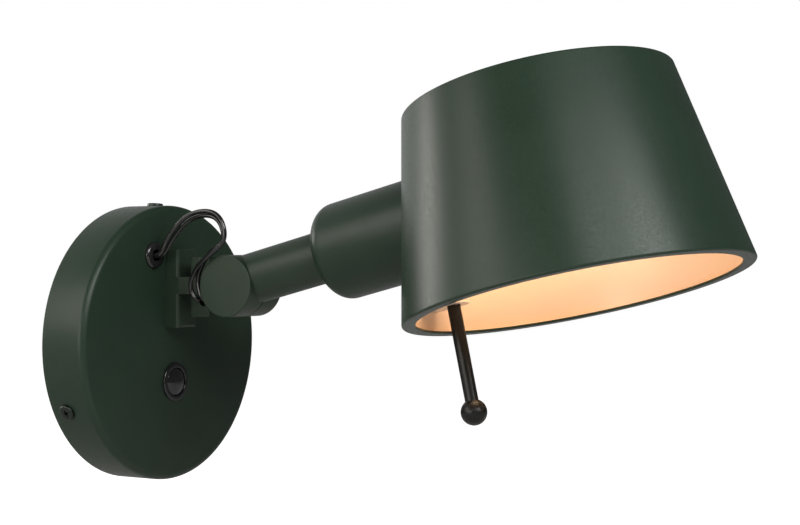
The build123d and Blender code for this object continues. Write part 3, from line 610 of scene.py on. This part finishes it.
def side_screw_frame(angle):
    """A frame on the canopy's side, with z pointing out along the screw."""
    out = Vector((cos(radians(angle)), 0.0, sin(radians(angle))))
    return frame_matrix(out * CANOPY_RADIUS + Vector((0, -SCREW_DEPTH, 0)), (0, -1, 0), out)


def make_canopy():
    inside = CANOPY_DEPTH - CANOPY_WALL
    points = [
        (0.0, CANOPY_DEPTH, 0.0),
        (CANOPY_RADIUS, CANOPY_DEPTH, CANOPY_EDGE),
        (CANOPY_RADIUS, 0.0, 0.2 * MM),
        (CANOPY_RADIUS - CANOPY_WALL, 0.0, 0.2 * MM),
        (CANOPY_RADIUS - CANOPY_WALL, inside, CANOPY_EDGE - CANOPY_WALL),
        (0.0, inside, 0.0),
    ]
    canopy = lathe("canopy_shell", rounded(points, steps=10), WALL, ["shell"], WIDE_TURN)
    beyond = CANOPY_DEPTH + CANOPY_WALL
    holes = [
        bar_cutter("hole", SWITCH_HOLE_RADIUS, inside - CANOPY_WALL, beyond, AT_SWITCH),
        bar_cutter("hole", GROMMET_HOLE_RADIUS, inside - CANOPY_WALL, beyond, AT_GROMMET),
    ]
    for angle in SCREW_ANGLES:
        place = side_screw_frame(angle)
        holes.append(bar_cutter("hole", SCREW_HOLE_RADIUS, -SCREW_HOLE_DEPTH, SCREW_HOLE_RISE, place))
    cut(canopy, holes)
    stands_for(canopy, "canopy", "wall_base")


def cross_cutters(place, width, reach, depth):
    """The two tapered bars of a cross recess."""
    cutters = []
    for turn in (0.0, pi / 2):
        bm = bmesh.new()
        for v in bmesh.ops.create_cube(bm, size=1.0)["verts"]:
            low = v.co.z < 0
            v.co.x *= 2 * reach * (0.45 if low else 1.0)
            v.co.y *= width * (0.7 if low else 1.0)
            v.co.z = -depth if low else depth
        bm.transform(place @ Matrix.Rotation(turn, 4, "Z"))
        cutters.append(bare_object("cross", bm))
    return cutters


def make_side_screws():
    points = [
        (0.0, SCREW_HEAD_HEIGHT, 0.0),
        (SCREW_HEAD_RADIUS, SCREW_HEAD_HEIGHT, SCREW_HEAD_HEIGHT * 0.45),
        (SCREW_HEAD_RADIUS, 0.0, 0.1 * MM),
        (SCREW_SHANK_RADIUS, 0.0, 0.0),
        (SCREW_SHANK_RADIUS, -SCREW_SHANK_LENGTH, 0.3 * MM),
        (0.0, -SCREW_SHANK_LENGTH, 0.0),
    ]
    for number, angle in enumerate(SCREW_ANGLES):
        place = side_screw_frame(angle)
        outline = rounded(points)
        screw = lathe(f"side_screw_{number}", outline, place, ["screw"], TINY_TURN)
        top = place @ Matrix.Translation((0, 0, SCREW_HEAD_HEIGHT)) @ Matrix.Rotation(CROSS_TURN, 4, "Z")
        cut(screw, cross_cutters(top, CROSS_WIDTH, CROSS_REACH, CROSS_DEPTH))
        stands_for(screw, "side_screws", "wall_base")


def make_switch():
    top = CANOPY_DEPTH + BEZEL_HEIGHT
    points = [
        (BEZEL_BORE, SWITCH_WELL_FLOOR, 0.0),
        (BEZEL_BORE, top, 0.35 * MM),
        (BEZEL_RADIUS, top, 0.6 * MM),
        (BEZEL_RADIUS, CANOPY_DEPTH, 0.1 * MM),
        (SWITCH_BODY_RADIUS, CANOPY_DEPTH, 0.0),
        (SWITCH_BODY_RADIUS, SWITCH_BODY_BACK, 0.4 * MM),
        (0.0, SWITCH_BODY_BACK, 0.0),
        (0.0, SWITCH_WELL_FLOOR, 0.0),
    ]
    bezel = lathe("switch_bezel", rounded(points), AT_SWITCH, ["black"], SWITCH_TURN)
    stands_for(bezel, "switch_body", "wall_base")
    sphere = (BUTTON_RADIUS ** 2 + BUTTON_DOME ** 2) / (2 * BUTTON_DOME)
    rim_height = BUTTON_FRONT - BUTTON_DOME
    outline = []
    steps = 14
    for k in range(steps + 1):
        r = BUTTON_RADIUS * k / steps
        outline.append((r, BUTTON_FRONT - sphere + sqrt(sphere ** 2 - r ** 2), 0))
    outline[-1] = (BUTTON_RADIUS - BUTTON_EDGE, rim_height + BUTTON_EDGE * 0.35, 0)
    outline.append((BUTTON_RADIUS - BUTTON_EDGE * 0.3, rim_height - BUTTON_EDGE * 0.15, 0))
    outline.append((BUTTON_RADIUS, rim_height - BUTTON_EDGE, 0))
    outline.append((BUTTON_RADIUS, BUTTON_BACK, 0))
    outline.append((0.0, BUTTON_BACK, 0))
    cap = lathe("switch_cap", outline, AT_SWITCH, ["black"], SWITCH_TURN)
    stands_for(cap, "push_button", "button")


def make_grommet():
    top = CANOPY_DEPTH + GROMMET_HEIGHT
    inside = CANOPY_DEPTH - CANOPY_WALL
    points = [
        (GROMMET_BORE, top, 0.4 * MM),
        (GROMMET_RADIUS, top, 1.5 * MM),
        (GROMMET_RADIUS, CANOPY_DEPTH, 0.1 * MM),
        (GROMMET_NECK_RADIUS, CANOPY_DEPTH, 0.0),
        (GROMMET_NECK_RADIUS, inside, 0.0),
        (GROMMET_FLANGE_RADIUS, inside, 0.2 * MM),
        (GROMMET_FLANGE_RADIUS, inside - GROMMET_FLANGE_DEPTH, 0.5 * MM),
        (GROMMET_BORE, inside - GROMMET_FLANGE_DEPTH, 0.2 * MM),
    ]
    grommet = lathe("grommet_moulding", rounded(points, steps=10), AT_GROMMET, ["rubber"], SMALL_TURN)
    stands_for(grommet, "cord_grommet", "wall_base")


# ---- arm and head ----


def make_arm_tube():
    inner = ARM_RADIUS - ARM_WALL
    points = [
        (inner, 0.0, 0.0),
        (ARM_RADIUS, 0.0, 0.0),
        (ARM_RADIUS, ARM_LENGTH, 0.35 * MM),
        (inner, ARM_LENGTH, 0.0),
    ]
    arm = lathe("arm_pipe", rounded(points), ARM, ["hinge"])
    far = bar_cutter("far", BARREL_RADIUS + BARREL_GAP, -SEAM / 2, BARREL_HALF_LENGTH * 2, HINGE, MIDDLE_TURN)
    near = bar_cutter("near", BARREL_RADIUS, -BARREL_HALF_LENGTH * 2, SEAM, HINGE, MIDDLE_TURN)
    cut(arm, [far, near])
    stands_for(arm, "arm_tube", "arm")


def make_cup():
    inner = CUP_RADIUS - CUP_WALL
    end = SHADE_REACH - SHADE_TOP_RADIUS * 0.8
    points = [
        (NIPPLE_HOLE_RADIUS, CUP_START, 0.0),
        (CUP_RADIUS, CUP_START, CUP_SHOULDER),
        (CUP_RADIUS, end, 0.0),
        (inner, end, 0.0),
        (inner, CUP_START + CUP_WALL, CUP_SHOULDER - CUP_WALL),
        (NIPPLE_HOLE_RADIUS, CUP_START + CUP_WALL, 0.0),
    ]
    cup = lathe("lampholder_housing", rounded(points, steps=14), ARM, ["shell"])
    # The shade's outer form, filled, trims the housing to the shade.
    filler = cone_cutter(
        "filler", SHADE_BOTTOM_RADIUS, SHADE_TOP_RADIUS, SHADE_BOTTOM, SHADE_TOP, HEAD, WIDE_TURN)
    cut(cup, [filler])
    stands_for(cup, "cup", "head")


def make_shade():
    slant = SHADE_WALL * sqrt(1 + SHADE_TAPER ** 2)
    lip_top = SHADE_BOTTOM + SHADE_WALL
    ceiling = SHADE_TOP - SHADE_WALL
    opening = SHADE_BOTTOM_RADIUS - SHADE_LIP
    points = [
        (0.0, SHADE_TOP, 0.0),
        (SHADE_TOP_RADIUS, SHADE_TOP, SHADE_RIM),
        (SHADE_BOTTOM_RADIUS, SHADE_BOTTOM, SHADE_RIM),
        (opening, SHADE_BOTTOM, 0.5 * MM),
        (opening, lip_top, 0.5 * MM),
        (SHADE_BOTTOM_RADIUS - slant - SHADE_TAPER * SHADE_WALL, lip_top, 0.4 * MM),
        (SHADE_TOP_RADIUS - slant + SHADE_TAPER * SHADE_WALL, ceiling, 1.0 * MM),
        (0.0, ceiling, 0.0),
    ]
    paints = [0, 0, 1, 1, 2, 2, 2, 2]
    outline = rounded(points, paints)
    shade = lathe("shade_spinning", outline, HEAD, ["shell", "lip", "inside"], WIDE_TURN)
    mouth_end = SHADE_REACH - SHADE_TOP_RADIUS / 2
    mouth = bar_cutter("mouth", CUP_RADIUS - CUP_WALL, CUP_START, mouth_end, ARM, MIDDLE_TURN)
    cut(shade, [mouth])
    stands_for(shade, "shade", "head")


def make_handle():
    place = HEAD @ Matrix.Translation((-HANDLE_INSET, 0, 0))
    rod_end = -BALL_DROP + BALL_RADIUS * ROD_END_HEIGHT
    points = [
        (0.0, ROD_TOP, 0.0),
        (ROD_RADIUS, ROD_TOP, 0.3 * MM),
        (ROD_RADIUS, rod_end, 0.0),
        (0.0, rod_end, 0.0),
    ]
    rod = lathe("handle_stem", rounded(points), place, ["handle"], TINY_TURN)
    stands_for(rod, "handle_rod", "head")
    outline = []
    steps = 40
    bore = ROD_RADIUS + ROD_CLEARANCE
    start = acos(sqrt(1 - (bore / BALL_RADIUS) ** 2))
    for k in range(steps + 1):
        t = start + (pi - start) * k / steps
        radius = BALL_RADIUS * sin(t) if k < steps else 0.0
        outline.append((radius, -BALL_DROP + BALL_RADIUS * cos(t), 0))
    socket_floor = -BALL_DROP + BALL_RADIUS * SOCKET_FLOOR_HEIGHT
    outline.append((0.0, socket_floor, 0))
    outline.append((bore, socket_floor, 0))
    ball = lathe("handle_knob", outline, place, ["handle"], SMALL_TURN)
    stands_for(ball, "handle_ball", "head")


# ---- studio ----

FLOOR_HEIGHT = -0.16
FLOOR_HALF_WIDTH = 4.0
FLOOR_COLOUR = (0.62, 0.62, 0.62, 1.0)
FLOOR_REFLECTION = 0.06
# The floor's own white grows with the distance from the object, so that a shadow shows near it.
FLOOR_NEAR = 0.3
FLOOR_FAR = 0.75
FLOOR_LIFT_NEAR = 0.6
FLOOR_LIFT_FAR = 0.98

WHITE = (1.0, 1.0, 1.0)
WORLD_LIGHT = 0.02
# A reflection sees white in a direction whose y part is over BEHIND_FULL, and this much in front.
FRONT_REFLECTION = 0.10
BEHIND_START = 0.3
BEHIND_FULL = 0.9

# Soft lamps round the object: azimuth and elevation in degrees, width, height, watts and colour.
# Azimuth 0 is straight out from the wall, and -90 on the object's left.
LIT_CENTRE = Vector((0.0, -0.12, 0.03))
SOFTBOX_DISTANCE = 1.3
WARM = (1.0, 0.955, 0.90)
SOFTBOXES = (
    ("back_softbox", -172, 8, 0.35, 0.6, 7.2, WARM),
    ("back_left_softbox", -128, 22, 0.45, 0.6, 5.2, WARM),
    ("left_softbox", -100, 8, 0.9, 0.5, 8.8, WARM),
    ("front_left_softbox", -38, 33, 0.9, 0.5, 12.2, WHITE),
    ("front_softbox", -10, 28, 0.45, 0.5, 10.8, WHITE),
)


def background_rays(tree, reflected=1.0):
    """1 for rays from the camera, reflected for mirrored and bent rays, 0 for the light itself."""
    rays = tree.nodes.new("ShaderNodeLightPath")
    seen = rays.outputs["Is Camera Ray"]
    for kind in ("Is Glossy Ray", "Is Transmission Ray"):
        share = combine(tree, "MULTIPLY", rays.outputs[kind], reflected)
        seen = combine(tree, "MAXIMUM", seen, share)
    return seen


def white_floor_material():
    """A pale floor that reads white, and still takes the object's shadow."""
    material = bpy.data.materials.new("pale_floor")
    material.use_nodes = True
    tree = material.node_tree
    shader = tree.nodes["Principled BSDF"]
    shader.inputs["Base Color"].default_value = FLOOR_COLOUR
    shader.inputs["Roughness"].default_value = 0.9
    shader.inputs["Specular IOR Level"].default_value = 0.0
    place = tree.nodes.new("ShaderNodeTexCoord").outputs["Object"]
    reach = tree.nodes.new("ShaderNodeVectorMath")
    reach.operation = "LENGTH"
    tree.links.new(place, reach.inputs[0])
    lift = map_range(
        tree, reach.outputs["Value"], FLOOR_NEAR, FLOOR_FAR, FLOOR_LIFT_NEAR, FLOOR_LIFT_FAR)
    glow = tree.nodes.new("ShaderNodeEmission")
    strength = combine(tree, "MULTIPLY", background_rays(tree, FLOOR_REFLECTION), lift)
    tree.links.new(strength, glow.inputs["Strength"])
    both = tree.nodes.new("ShaderNodeAddShader")
    tree.links.new(shader.outputs["BSDF"], both.inputs[0])
    tree.links.new(glow.outputs["Emission"], both.inputs[1])
    tree.links.new(both.outputs["Shader"], tree.nodes["Material Output"].inputs["Surface"])
    return material


def make_floor():
    bm = bmesh.new()
    bmesh.ops.create_grid(bm, x_segments=1, y_segments=1, size=FLOOR_HALF_WIDTH)
    floor = bare_object("floor", bm)
    floor.location = (0, 0, FLOOR_HEIGHT)
    floor.data.materials.append(white_floor_material())


def softbox(name, azimuth, elevation, width, height, power, colour):
    """A soft lamp that points at the object."""
    data = bpy.data.lights.new(name, "AREA")
    data.shape = "RECTANGLE"
    data.size = width
    data.size_y = height
    data.energy = power
    data.color = colour
    light = bpy.data.objects.new(name, data)
    out = Vector((sin(azimuth) * cos(elevation), -cos(azimuth) * cos(elevation), sin(elevation)))
    light.location = LIT_CENTRE + out * SOFTBOX_DISTANCE
    light.rotation_euler = (-out).to_track_quat("-Z", "Y").to_euler()
    bpy.context.scene.collection.objects.link(light)


def make_world():
    """White to the camera, white in reflections of what lies behind the object, dim elsewhere."""
    world = bpy.data.worlds.new("studio")
    world.use_nodes = True
    tree = world.node_tree
    light = tree.nodes["Background"]
    light.inputs["Color"].default_value = (*WHITE, 1.0)
    light.inputs["Strength"].default_value = WORLD_LIGHT
    white = tree.nodes.new("ShaderNodeBackground")
    white.inputs["Color"].default_value = (*WHITE, 1.0)
    rays = tree.nodes.new("ShaderNodeLightPath")
    direction = tree.nodes.new("ShaderNodeSeparateXYZ")
    tree.links.new(tree.nodes.new("ShaderNodeTexCoord").outputs["Generated"], direction.inputs[0])
    behind = map_range(tree, direction.outputs["Y"], BEHIND_START, BEHIND_FULL, FRONT_REFLECTION, 1.0)
    strength = combine(tree, "MAXIMUM", rays.outputs["Is Camera Ray"], behind)
    tree.links.new(strength, white.inputs["Strength"])
    mix = tree.nodes.new("ShaderNodeMixShader")
    tree.links.new(background_rays(tree), mix.inputs["Fac"])
    tree.links.new(light.outputs["Background"], mix.inputs[1])
    tree.links.new(white.outputs["Background"], mix.inputs[2])
    tree.links.new(mix.outputs["Shader"], tree.nodes["World Output"].inputs["Surface"])
    bpy.context.scene.world = world


def make_studio():
    make_world()
    make_floor()
    for name, azimuth, elevation, *rest in SOFTBOXES:
        softbox(name, radians(azimuth), radians(elevation), *rest)
    bpy.context.scene.view_settings.view_transform = "Standard"


make_camera()
make_loop_lead("loop_lead_left", LEFT_LEAD_ROUTE)
make_loop_lead("loop_lead_right", RIGHT_LEAD_ROUTE)
paint_frame()
make_canopy()
make_side_screws()
make_switch()
make_grommet()
make_arm_tube()
make_cup()
make_shade()
make_handle()
make_studio()
